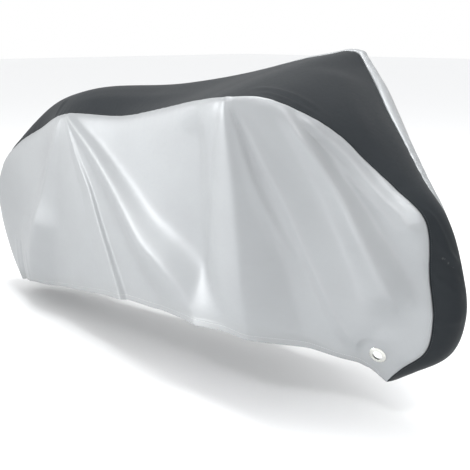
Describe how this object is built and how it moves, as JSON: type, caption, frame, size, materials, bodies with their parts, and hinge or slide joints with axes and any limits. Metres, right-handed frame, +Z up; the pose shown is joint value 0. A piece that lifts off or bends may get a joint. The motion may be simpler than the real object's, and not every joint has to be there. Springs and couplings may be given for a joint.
{
  "type": "bicycle cover",
  "caption": "Fitted cover for a bicycle, hanging open below: silver side panels sewn to a black centre band, with a metal eyelet in each low front corner.",
  "frame": {"origin": "just under the centre band, halfway along the cover, where what it covers holds it up", "axes": "+X towards the cover's front, +Y to the side away from the camera, +Z up"},
  "size_m": [2.043, 0.6639, 0.8716],
  "materials": {
    "silver_coated_polyester": "silver coating on plain woven polyester, soft metallic sheen",
    "black_coated_polyester": "dyed and coated plain woven polyester, satin",
    "nickel_plated_brass": "polished nickel plate"
  },
  "bodies": {
    "root": {"centre_band": "black_coated_polyester", "side_panel_near_rear": "silver_coated_polyester", "side_panel_near_middle": "silver_coated_polyester", "side_panel_near_front": "silver_coated_polyester", "side_panel_far_rear": "silver_coated_polyester", "side_panel_far_middle": "silver_coated_polyester", "side_panel_far_front": "silver_coated_polyester", "eyelet_corner_near": "silver_coated_polyester", "eyelet_corner_far": "silver_coated_polyester", "eyelet_near": "nickel_plated_brass", "eyelet_far": "nickel_plated_brass"}
  },
  "joints": []
}
